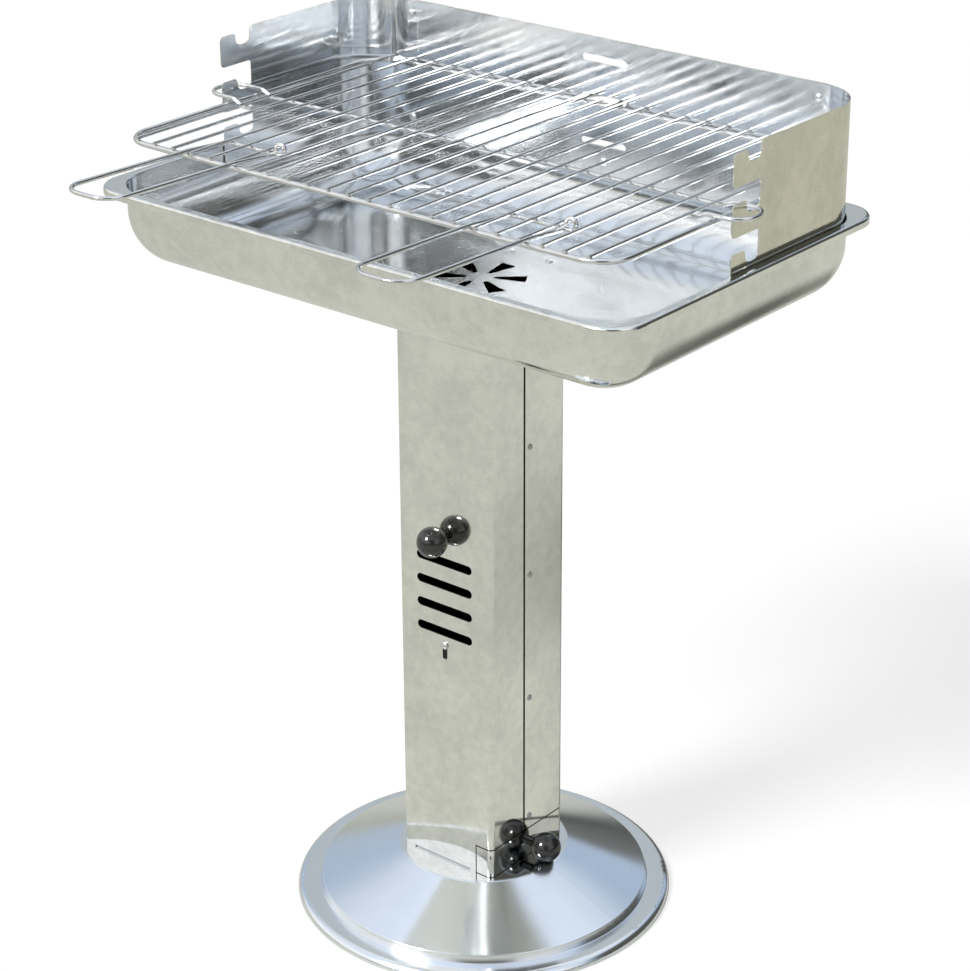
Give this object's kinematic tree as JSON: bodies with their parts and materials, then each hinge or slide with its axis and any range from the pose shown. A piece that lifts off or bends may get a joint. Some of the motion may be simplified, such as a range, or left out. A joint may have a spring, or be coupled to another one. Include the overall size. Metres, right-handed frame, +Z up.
{
  "type": "pedestal charcoal grill",
  "caption": "Free-standing charcoal grill: a rectangular fire bowl on a square column and round spun base, with a three-sided windscreen, wire grid, air damper and ash drawer.",
  "frame": {"origin": "on the ground, under the middle of the whole object; the column's axis is at y = +0.0625", "axes": "+Z up; -Y is the front, where the damper and the grid's handles are; +X is the ash drawer's side"},
  "size_m": [0.6, 0.511, 0.799],
  "materials": {
    "satin_steel": "satin",
    "mirror_steel": "polished",
    "bright_wire": "bright",
    "fastener_steel": "satin",
    "knob_black": "gloss"
  },
  "bodies": {
    "stand": {"base_plate": "mirror_steel", "base_screws": "fastener_steel", "base_nuts": "fastener_steel", "column_front_shell": "satin_steel", "column_rear_shell": "satin_steel", "column_seam_screws": "fastener_steel", "drawer_runner_front": "satin_steel", "drawer_runner_rear": "satin_steel", "fire_bowl": "satin_steel", "bowl_screws": "fastener_steel", "bowl_nuts": "fastener_steel", "windscreen_back": "satin_steel", "windscreen_right_wing": "satin_steel", "windscreen_left_wing": "satin_steel", "windscreen_joining_screws": "fastener_steel", "windscreen_joining_nuts": "fastener_steel", "windscreen_fixing_screws": "fastener_steel", "windscreen_fixing_nuts": "fastener_steel"},
    "damper": {"damper_shutter": "satin_steel", "damper_knob": "knob_black", "damper_knob_screw": "fastener_steel", "damper_guide_screw": "fastener_steel", "damper_guide_nut": "fastener_steel"},
    "ash_drawer": {"ash_drawer_front": "satin_steel", "ash_drawer_tray": "satin_steel", "ash_drawer_knob": "knob_black", "ash_drawer_knob_screw": "fastener_steel"},
    "grid": {"grid_frame": "bright_wire", "grid_bars": "bright_wire", "grid_cross_wire": "bright_wire", "grid_tongue": "bright_wire", "grid_handle_left": "bright_wire", "grid_handle_right": "bright_wire"}
  },
  "joints": [
    {"name": "damper_slide", "type": "slide", "parent": "stand", "child": "damper", "axis": [0, 0, -1], "range_m": [0, 0.0119]},
    {"name": "ash_drawer_slide", "type": "slide", "parent": "stand", "child": "ash_drawer", "axis": [1, 0, 0], "range_m": [0, 0.095]},
    {"name": "grid_tilt", "type": "hinge", "parent": "stand", "child": "grid", "pos_m": [0, 0.2409, 0.74255], "axis": [-1, 0, 0], "range_deg": [0, 6]}
  ]
}
